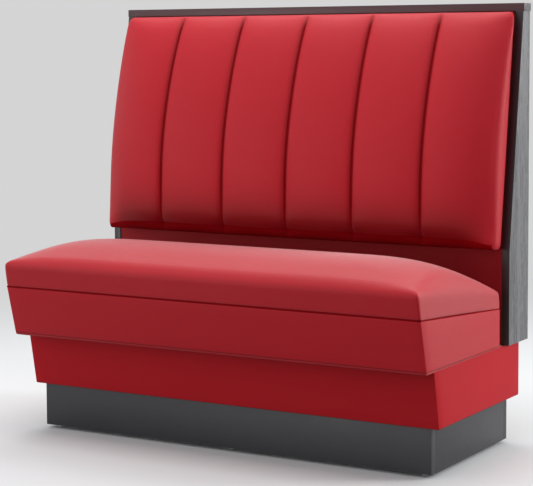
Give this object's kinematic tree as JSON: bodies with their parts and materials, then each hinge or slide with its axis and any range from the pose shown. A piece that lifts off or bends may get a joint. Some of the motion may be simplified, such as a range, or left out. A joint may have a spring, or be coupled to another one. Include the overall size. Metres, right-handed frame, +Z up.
{
  "type": "restaurant booth",
  "caption": "Single-sided restaurant booth: crowned sprung seat on stacked boxes, channelled back between end panels under a cap, plinth on levelling glides.",
  "frame": {"origin": "on the floor under the middle of the booth's bounding box, with every glide fully screwed in", "axes": "+X along the bench towards the sitter's left as the sitter faces out, to the viewer's right from the front; +Y from the seat's front towards the outside back; +Z up"},
  "size_m": [1.164, 0.6067, 1.076],
  "materials": {
    "red_vinyl": "smooth satin upholstery vinyl over foam",
    "charcoal_laminate": "plywood faced with plain charcoal laminate, fine matt texture",
    "grained_laminate": "board faced with charcoal wood-grain laminate",
    "dark_edge_band": "glued edge banding, matt",
    "zinc_steel": "zinc plated",
    "spring_wire": "oiled spring wire",
    "felt_pad": "grey needled felt",
    "foam": "open-cell upholstery foam",
    "beech_dowel": "fluted beech",
    "plywood": "bare softwood plywood"
  },
  "bodies": {
    "booth": {"back_board": "plywood", "back_cushion": "red_vinyl", "back_foot_rail": "plywood", "back_left_rib": "plywood", "back_middle_rib": "plywood", "back_right_rib": "plywood", "back_screws": "zinc_steel", "back_top_rail": "plywood", "cap_band": "dark_edge_band", "cap_dowels": "beech_dowel", "glide_blocks": "plywood", "glide_nuts": "zinc_steel", "left_end_panel": "grained_laminate", "left_panel_band": "dark_edge_band", "lower_back_panel": "red_vinyl", "lower_floor_panel": "plywood", "lower_front_board": "plywood", "lower_front_cover": "red_vinyl", "lower_left_board": "plywood", "lower_left_cover": "red_vinyl", "lower_left_rib": "plywood", "lower_rear_board": "plywood", "lower_right_board": "plywood", "lower_right_cover": "red_vinyl", "lower_right_rib": "plywood", "outside_back_panel": "grained_laminate", "plinth_front_board": "charcoal_laminate", "plinth_left_board": "charcoal_laminate", "plinth_left_rib": "plywood", "plinth_rear_board": "charcoal_laminate", "plinth_right_board": "charcoal_laminate", "plinth_right_rib": "plywood", "plinth_screws": "zinc_steel", "right_end_panel": "grained_laminate", "right_panel_band": "dark_edge_band", "seat_base_panel": "plywood", "seat_cushion": "red_vinyl", "seat_foam_slab": "foam", "seat_front_batten": "plywood", "seat_front_cover": "red_vinyl", "seat_front_rail": "plywood", "seat_insulator_pad": "felt_pad", "seat_left_cover": "red_vinyl", "seat_left_rail": "plywood", "seat_rear_batten": "plywood", "seat_rear_rail": "plywood", "seat_right_cover": "red_vinyl", "seat_right_rail": "plywood", "seat_screws": "zinc_steel", "seat_springs": "spring_wire", "spring_clips": "zinc_steel", "top_cap": "grained_laminate"},
    "front_left_glide": {"front_left_glide": "zinc_steel"},
    "front_middle_glide": {"front_middle_glide": "zinc_steel"},
    "front_right_glide": {"front_right_glide": "zinc_steel"},
    "rear_left_glide": {"rear_left_glide": "zinc_steel"},
    "rear_middle_glide": {"rear_middle_glide": "zinc_steel"},
    "rear_right_glide": {"rear_right_glide": "zinc_steel"}
  },
  "joints": [
    {"name": "front_left_glide_travel", "type": "slide", "parent": "booth", "child": "front_left_glide", "axis": [0, 0, -1], "range_m": [0, 0.015]},
    {"name": "front_middle_glide_travel", "type": "slide", "parent": "booth", "child": "front_middle_glide", "axis": [0, 0, -1], "range_m": [0, 0.015]},
    {"name": "front_right_glide_travel", "type": "slide", "parent": "booth", "child": "front_right_glide", "axis": [0, 0, -1], "range_m": [0, 0.015]},
    {"name": "rear_left_glide_travel", "type": "slide", "parent": "booth", "child": "rear_left_glide", "axis": [0, 0, -1], "range_m": [0, 0.015]},
    {"name": "rear_middle_glide_travel", "type": "slide", "parent": "booth", "child": "rear_middle_glide", "axis": [0, 0, -1], "range_m": [0, 0.015]},
    {"name": "rear_right_glide_travel", "type": "slide", "parent": "booth", "child": "rear_right_glide", "axis": [0, 0, -1], "range_m": [0, 0.015]}
  ]
}
